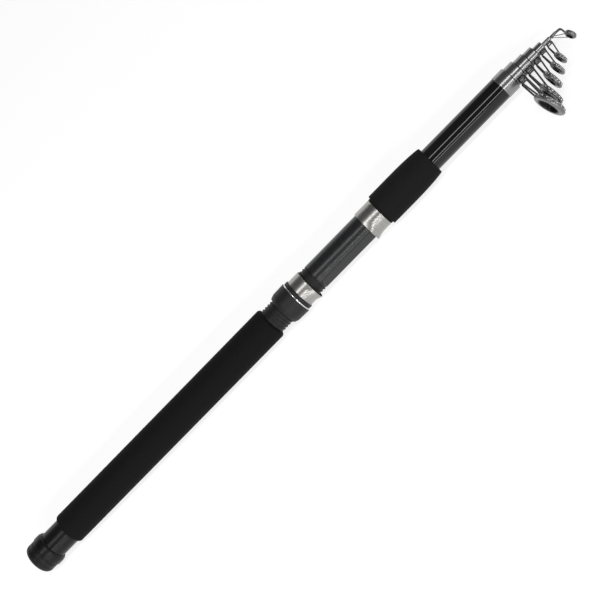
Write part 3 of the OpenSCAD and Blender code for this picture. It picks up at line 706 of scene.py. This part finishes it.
# Back of the nut, from its mouth to the end of its cone, as (distance from the back, radius)
NUT_BACK = [(0, 13.5), (0, 13.8), (0.25, NUT_R - 1.55), (3.5, NUT_R - 0.42), (4.1, NUT_R - 0.3)]
NUT_EDGE = 0.25
NUT_THREAD_START = 0.4
LIP_BORE = SPIGOT_R + SLIDE_GAP
LIP_LEN = 2.4
RECESS_R = BEAD_R + SLIDE_GAP
RECESS_LEN = 2.0
recess_x1 = NUT_X1 - LIP_LEN
recess_x0 = recess_x1 - RECESS_LEN
nut_thread = thread(
    seat_first, SEAT_PITCH, SEAT_ROOT_R, SEAT_R, NUT_X0 - THREAD_PAST, NUT_X1 + THREAD_PAST, gap=THREAD_GAP)
loft("lock_nut", [
    *[(NUT_X0 + place, r) for place, r in NUT_BACK],
    (NUT_X1 - NUT_EDGE, NUT_R), (NUT_X1, NUT_R - NUT_EDGE),
    (NUT_X1, LIP_BORE), (recess_x1, LIP_BORE), (recess_x1, RECESS_R), (recess_x0, RECESS_R),
    *[(x, nut_thread) for x in reversed(steps(NUT_X0 + NUT_THREAD_START, recess_x0, seat_step))],
], NUT)

TRIM_X0, TRIM_X1 = span("nut_trim_ring")
TRIM_R = radius("nut_trim_ring")
TRIM_EDGE = 0.1
TRIM_ROUND = 0.4
loft("nut_trim_ring", [
    (TRIM_X0, LIP_BORE), (TRIM_X0, TRIM_R - TRIM_EDGE), (TRIM_X0 + TRIM_EDGE, TRIM_R),
    (TRIM_X1 - TRIM_ROUND - STEP_LEN, TRIM_R),
    *arc(TRIM_X1 - TRIM_ROUND, TRIM_R - TRIM_ROUND, TRIM_ROUND, 10, 90, 6), (TRIM_X1, LIP_BORE),
], BRIGHT)

# Tools for the line guides

# Places in a guide's list of materials: hoop, wire, and the bright spots or braces
ON_HOOP, ON_WIRE, ON_BRIGHT = 0, 1, 2
WIRE_SIDES = 16
BEND_STEPS = 8
# A bend takes at most this share of the straight stretch on either side of it
BEND_SHARE = 0.45


def joined(parts):
    """Several meshes as one, with the number of each part's material kept for its faces."""
    points, faces, kinds = [], [], []
    for kind, (part_points, part_faces) in parts:
        base = len(points)
        points += [tuple(point) for point in part_points]
        faces += [tuple(i + base for i in face) for face in part_faces]
        kinds += [kind] * len(part_faces)
    return points, faces, kinds


def rounded(path, bend):
    """A path of points with its inner corners rounded."""
    out = [path[0]]
    for before, corner, after in zip(path, path[1:], path[2:]):
        reach = min(bend, (corner - before).length * BEND_SHARE, (after - corner).length * BEND_SHARE)
        start = corner + (before - corner).normalized() * reach
        end = corner + (after - corner).normalized() * reach
        for share in [i / BEND_STEPS for i in range(BEND_STEPS + 1)]:
            out.append(start.lerp(corner, share).lerp(corner.lerp(end, share), share))
    return out + [path[-1]]


def sweep(path, thickness):
    """A round wire along a path, with closed ends."""
    last = len(path) - 1
    directions = [(path[min(i + 1, last)] - path[max(i - 1, 0)]).normalized() for i in range(last + 1)]
    turns = [2 * math.pi * i / WIRE_SIDES for i in range(WIRE_SIDES)]
    points, faces = [], []
    across = directions[0].orthogonal().normalized()
    for place, direction in zip(path, directions):
        across = (across - direction * across.dot(direction)).normalized()
        other = direction.cross(across)
        points += [place + (across * math.cos(a) + other * math.sin(a)) * thickness / 2 for a in turns]
    for row in range(last):
        low, high = row * WIRE_SIDES, (row + 1) * WIRE_SIDES
        for i in range(WIRE_SIDES):
            j = (i + 1) % WIRE_SIDES
            faces.append((low + i, low + j, high + j, high + i))
    faces.append(tuple(reversed(range(WIRE_SIDES))))
    faces.append(tuple(range(len(points) - WIRE_SIDES, len(points))))
    return points, faces


def braze(place, size):
    """A round blob of braze."""
    half = size / 2
    rings = [(place.x - half, 0), *arc(place.x, 0, half, -75, 75, 10), (place.x + half, 0)]
    points, faces = loft_mesh(rings, BRAZE_SEGMENTS)
    return [(x, y + place.y, z + place.z) for x, y, z in points], faces


class Ring:
    """A leaning guide ring, from the record's mount."""

    def __init__(self, mount):
        self.bore = mount["dims"]["r_mm"]
        centre = Vector(mount["pos_m"]) / MM
        axis = -Vector(mount["axis"])
        lean = math.atan2(axis.y, axis.x)
        self.matrix = Matrix.Translation(centre) @ Matrix.Rotation(lean, 4, "Z")

    def at(self, along, r, degrees, side):
        """A point along the axis, at a radius and an angle from the side nearest the rod."""
        angle = math.radians(degrees)
        return self.matrix @ Vector((along, r * math.cos(angle), side * r * math.sin(angle)))

    def placed(self, rings):
        """A mesh of rings about the guide ring's axis."""
        points, faces = loft_mesh(rings, SLIM_SEGMENTS)
        return [self.matrix @ Vector(point) for point in points], faces


# Groove round a hoop: its place, depth and width as shares of the hoop's depth
GROOVE_PLACE, GROOVE_DEPTH, GROOVE_WIDTH = 0.16, 0.16, 0.11
SPOT_SHARE = 0.24
SPOT_COUNT = 18
HOOP_EDGE = 0.1


def hoop_rings(outer, seat, depth):
    """Section of a deep hoop: two round rims with a groove between them, straight in the seat."""
    half = depth / 2
    section = []
    for x, r in arc(0, outer - half, half, -90, 90, 36):
        groove = GROOVE_DEPTH * depth * math.exp(-((x / depth - GROOVE_PLACE) / GROOVE_WIDTH) ** 2)
        section.append((x, r - groove))
    return [
        (-half, seat + HOOP_EDGE), *section, (half, seat + HOOP_EDGE),
        (half - HOOP_EDGE, seat), (-half + HOOP_EDGE, seat),
    ]


def groove_spots(ring, outer, depth):
    """Bright spots of braze that join the two rims of a hoop."""
    half = depth / 2
    along = GROOVE_PLACE * depth
    r = outer - half + math.sqrt(half ** 2 - along * along) - GROOVE_DEPTH * depth
    return [braze(ring.at(along, r, 360 * i / SPOT_COUNT, 1), SPOT_SHARE * depth) for i in range(SPOT_COUNT)]


# Insert: its land as a share of its depth, its roll as a share of its wall, how far it stands out of the hoop
LAND_SHARE = 0.15
ROLL_SHARE = 0.7
INSERT_EDGE = 0.15
INSERT_PROUD = 0.2


def insert_rings(seat, bore, hoop_depth):
    """Section of an insert: a polished land in the middle of the bore, rolled out to both faces."""
    depth = hoop_depth + 2 * INSERT_PROUD
    half, land = depth / 2, depth * LAND_SHARE
    flare = (seat - bore) * ROLL_SHARE
    outside = seat - GLUE
    roll = [(land + (half - land) * math.sin(angle), bore + flare * (1 - math.cos(angle)))
            for angle in map(math.radians, range(0, 91, 9))]
    return [
        (-half, outside - INSERT_EDGE), (-half + INSERT_EDGE, outside),
        (half - INSERT_EDGE, outside), (half, outside - INSERT_EDGE),
        *reversed(roll), *[(-x, r) for x, r in roll],
    ]


# Line guides, by section: diameter and depth of the hoop, thickness of the wire, lift of the feet

Guide = namedtuple("Guide", "number hoop_d depth wire lift")
GUIDES = [
    Guide(2, 28.6, 5, 1.6, 0),
    Guide(3, 23.2, 4.6, 1.5, 0),
    Guide(4, 18.8, 4.4, 1.4, 0),
    Guide(5, 14.6, 4, 1.2, 0),
    Guide(6, 12.6, 3.8, 1.1, 1.3),
]
GUIDE_WALL = 1.5
# The feet run along the ferrule, this far round from the guides' line on both sides
FOOT_SPREAD = math.radians(20)
REAR_LEG_ANGLE, FRONT_LEG_ANGLE = 78, 96
LEG_BEND = 1.6
# The feet leave room on the ferrule for beads of this share of the wire's thickness
BEAD_SHARE = 1.2
# Braze at the top of a leg, as a share of the wire's thickness
BRAZE_SHARE = 1.7
# A lifted foot stands on posts at these shares of its length
POST_PLACES = (0.2, 0.8)

for guide in GUIDES:
    frame_node, insert_node = f"guide_{guide.number}_frame", f"guide_{guide.number}_insert"
    ferrule_node = f"section_{guide.number}_ferrule"
    ring = Ring(MOUNT[f"guide_{guide.number}_ring"])
    outer, seat = guide.hoop_d / 2, ring.bore + GUIDE_WALL
    x0, x1 = span(ferrule_node)
    foot_lift = guide.lift + guide.wire * BEAD_SHARE / 2
    foot_r = radius(ferrule_node) + GLUE + foot_lift
    leg_r, leg_along = (guide.hoop_d - guide.depth) / 2, guide.depth / 2 - guide.wire
    parts = [(ON_HOOP, ring.placed(hoop_rings(outer, seat, guide.depth)))]
    parts += [(ON_BRIGHT, spot) for spot in groove_spots(ring, outer, guide.depth)]
    for side in (-1, 1):
        y, z = -foot_r * math.cos(FOOT_SPREAD), side * foot_r * math.sin(FOOT_SPREAD)
        rear_foot, front_foot = Vector((x0 + guide.wire, y, z)), Vector((x1 - guide.wire, y, z))
        rear_top = ring.at(-leg_along, leg_r, REAR_LEG_ANGLE, side)
        front_top = ring.at(leg_along, leg_r, FRONT_LEG_ANGLE, side)
        legs = rounded([rear_top, rear_foot, front_foot, front_top], LEG_BEND)
        parts.append((ON_WIRE, sweep(legs, guide.wire)))
        for top in (rear_top, front_top):
            parts.append((ON_WIRE, braze(top, guide.wire * BRAZE_SHARE)))
        if guide.lift:
            post = 1 - foot_lift / foot_r
            for share in POST_PLACES:
                head = rear_foot.lerp(front_foot, share)
                base = Vector((head.x, head.y * post, head.z * post))
                parts.append((ON_WIRE, sweep([head, base], guide.wire)))
    points, faces, kinds = joined(parts)
    new_piece(frame_node, points, faces, [HOOP, WIRE, SOLDER], kinds)
    points, faces = ring.placed(insert_rings(seat, ring.bore, guide.depth))
    new_piece(insert_node, points, faces, [CERAMIC])

# Tip-top

TIP_TUBE_LEN = 6
TIP_TUBE_R = 1.3
TIP_TUBE_BORE = 0.85
TIP_TUBE_EDGE = 0.1
TIP_TUBE_ROUND = 0.4
TIP_HOOP_D = 10.4
TIP_HOOP_DEPTH = 3.8
TIP_WALL = 1.1
# Two arms run from the tube's front to the hoop and two braces from its back
ARM_WIRE = 1.1
ARM_LEN = 4.6
ARM_HALF = 0.75
ARM_BEND = 2.2
ARM_ANGLE = 30
BRACE_WIRE = 0.75
BRACE_ANGLE = 115
tip_ring = Ring(MOUNT["tip_ring"])
tip_seat = tip_ring.bore + TIP_WALL
tip_leg_r = (TIP_HOOP_D / 2 + tip_seat) / 2
tip_tube_x1 = TIP_TUBE_X0 + TIP_TUBE_LEN
brace_root_r = TIP_TUBE_R * math.sqrt(0.5)
tip_tube = loft_mesh([
    (TIP_TUBE_X0, TIP_TUBE_BORE), (TIP_TUBE_X0, TIP_TUBE_R - TIP_TUBE_EDGE),
    (TIP_TUBE_X0 + TIP_TUBE_EDGE, TIP_TUBE_R),
    *arc(tip_tube_x1 - TIP_TUBE_ROUND, TIP_TUBE_R - TIP_TUBE_ROUND, TIP_TUBE_ROUND, 0, 90, 5),
    (tip_tube_x1, 0), (TIP_X1 + GLUE, 0), (TIP_X1 + GLUE, TIP_TUBE_BORE),
], TIP_SEGMENTS)
tip_hoop = tip_ring.placed(hoop_rings(TIP_HOOP_D / 2, tip_seat, TIP_HOOP_DEPTH))
parts = [(ON_HOOP, tip_tube), (ON_HOOP, tip_hoop)]
for side in (-1, 1):
    arm_root = Vector((tip_tube_x1 - ARM_WIRE, 0, side * ARM_HALF))
    elbow = Vector((tip_tube_x1 + ARM_LEN, -ARM_WIRE / 2, side * ARM_HALF))
    arm_top = tip_ring.at(0, tip_leg_r, ARM_ANGLE, side)
    parts.append((ON_WIRE, sweep(rounded([arm_root, elbow, arm_top], ARM_BEND), ARM_WIRE)))
    brace_root = Vector((TIP_TUBE_X0 + ARM_WIRE, -brace_root_r, side * brace_root_r))
    brace_top = tip_ring.at(0, tip_leg_r, BRACE_ANGLE, side)
    parts.append((ON_BRIGHT, sweep([brace_root, brace_top], BRACE_WIRE)))
    for root in (arm_root, brace_root):
        parts.append((ON_WIRE, braze(root, ARM_WIRE * BEAD_SHARE)))
points, faces, kinds = joined(parts)
new_piece("tip_top_frame", points, faces, [HOOP, WIRE, STEEL], kinds)
points, faces = tip_ring.placed(insert_rings(tip_seat, tip_ring.bore, TIP_HOOP_DEPTH))
new_piece("tip_top_insert", points, faces, [CERAMIC])

# Camera, at the photograph's viewing angle

VIEW_FROM = Vector((0.127, -0.583, 0.803))
VIEW_ROLL = math.radians(45.55)
# Point of the rod in the middle of the picture, along the rod and beside it
VIEW_ALONG = 325.2
VIEW_BESIDE = 4.05
# From here on lengths are in metres
VIEW_DISTANCE = 1.134
back = VIEW_FROM.normalized()
along = (Vector((1, 0, 0)) - back * back.x).normalized()
across = along.cross(back)
right = along * math.cos(VIEW_ROLL) + across * math.sin(VIEW_ROLL)
up = along * math.sin(VIEW_ROLL) - across * math.cos(VIEW_ROLL)
target = Vector((VIEW_ALONG, 0, 0)) * MM + across * VIEW_BESIDE * MM
camera_data = bpy.data.cameras.new("camera")
camera_data.sensor_width = 36
camera_data.lens = 81
camera = bpy.data.objects.new("camera", camera_data)
camera_turn = Matrix((right, up, back)).transposed().to_4x4()
camera.matrix_world = Matrix.Translation(target + back * VIEW_DISTANCE) @ camera_turn
bpy.context.scene.collection.objects.link(camera)
bpy.context.scene.camera = camera

# Floor: a round sheet of paper that curves up at its rim

FLOOR_GAP = 0.0002
FLOOR_Z = CAD_LOW.z - FLOOR_GAP
FLOOR_R = 7.5
COVE_R = 1.5
COVE_H = 3.4
COVE_STEPS = 12
FLOOR_SIDES = 96
cove_angles = [math.radians(90 * i / COVE_STEPS) for i in range(COVE_STEPS + 1)]
cove = [(FLOOR_R + COVE_R * math.sin(a), FLOOR_Z + COVE_R * (1 - math.cos(a))) for a in cove_angles]
cove.append((FLOOR_R + COVE_R, FLOOR_Z + COVE_H))
floor_angles = [2 * math.pi * i / FLOOR_SIDES for i in range(FLOOR_SIDES)]
floor_points, floor_faces = [(0, 0, FLOOR_Z)], []
for r, z in cove:
    floor_points += [(r * math.cos(a), r * math.sin(a), z) for a in floor_angles]
for i in range(FLOOR_SIDES):
    j = (i + 1) % FLOOR_SIDES
    floor_faces.append((0, 1 + i, 1 + j))
    for row in range(len(cove) - 1):
        low, high = 1 + row * FLOOR_SIDES, 1 + (row + 1) * FLOOR_SIDES
        floor_faces.append((low + i, high + i, high + j, low + j))
floor_mesh = bpy.data.meshes.new("floor")
floor_mesh.from_pydata(floor_points, [], floor_faces)
floor_mesh.polygons.foreach_set("use_smooth", [True] * len(floor_mesh.polygons))
floor = bpy.data.objects.new("floor", floor_mesh)
bpy.context.scene.collection.objects.link(floor)
floor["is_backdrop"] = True

PAPER_COLOUR = (0.42, 0.42, 0.42, 1)
WHITE = (1, 1, 1, 1)
# The paper glows where it is seen, more so away from the lamps, so that the background keeps one tone
GLOW_NEAR, GLOW_FAR = 0.765, 0.92
GLOW_START, GLOW_END = 0.9, 2.2
paper, nodes, links = tree_of("floor_paper")
shader = nodes["Principled BSDF"]
shader.inputs["Base Color"].default_value = PAPER_COLOUR
shader.inputs["Roughness"].default_value = 0.9
shader.inputs["Specular IOR Level"].default_value = 0.1
shader.inputs["Emission Color"].default_value = WHITE
rays = nodes.new("ShaderNodeLightPath").outputs
seen = combined(nodes, links, "MAXIMUM", rays["Is Camera Ray"], rays["Is Glossy Ray"])
seen = combined(nodes, links, "MAXIMUM", seen, rays["Is Transmission Ray"])
place = nodes.new("ShaderNodeNewGeometry")
reach = nodes.new("ShaderNodeVectorMath")
reach.operation = "LENGTH"
links.new(place.outputs["Position"], reach.inputs[0])
glow = ranged(nodes, links, reach.outputs["Value"], GLOW_NEAR, GLOW_FAR, GLOW_START, GLOW_END)
links.new(combined(nodes, links, "MULTIPLY", seen, glow), shader.inputs["Emission Strength"])
# The glow lights nothing, so no light samples go to it
paper.cycles.emission_sampling = "NONE"
floor_mesh.materials.append(paper)

# World and lamps

world = bpy.data.worlds.new("studio")
bpy.context.scene.world = world
world.use_nodes = True
background = world.node_tree.nodes["Background"]
background.inputs["Color"].default_value = WHITE
background.inputs["Strength"].default_value = 0.14


def strip(name, direction, distance, width, length, radiance, x=0.15):
    """A long soft box along the rod, facing it, with its middle at a place along the rod."""
    data = bpy.data.lights.new(name, "AREA")
    data.shape = "RECTANGLE"
    data.size, data.size_y = length, width
    data.energy = radiance * math.pi * width * length
    lamp = bpy.data.objects.new(name, data)
    out = Vector(direction).normalized()
    side = Vector((1, 0, 0))
    turn = Matrix((side, out.cross(side), out)).transposed().to_4x4()
    lamp.matrix_world = Matrix.Translation(out * distance + side * x) @ turn
    bpy.context.scene.collection.objects.link(lamp)


strip("strip_high", (0, -0.292, 0.956), distance=1.3, width=0.15, length=2.6, radiance=8)
strip("strip_mid", (0, -0.842, 0.539), distance=1.3, width=0.11, length=2.6, radiance=9.5)
strip("strip_low", (0, -0.977, 0.213), distance=1.3, width=0.11, length=1.78, radiance=5, x=-0.26)
strip("fill_back", (0, 0.966, 0.3), distance=1.5, width=0.8, length=2.6, radiance=0.3)

bpy.context.scene.view_settings.view_transform = "Standard"

low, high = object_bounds()
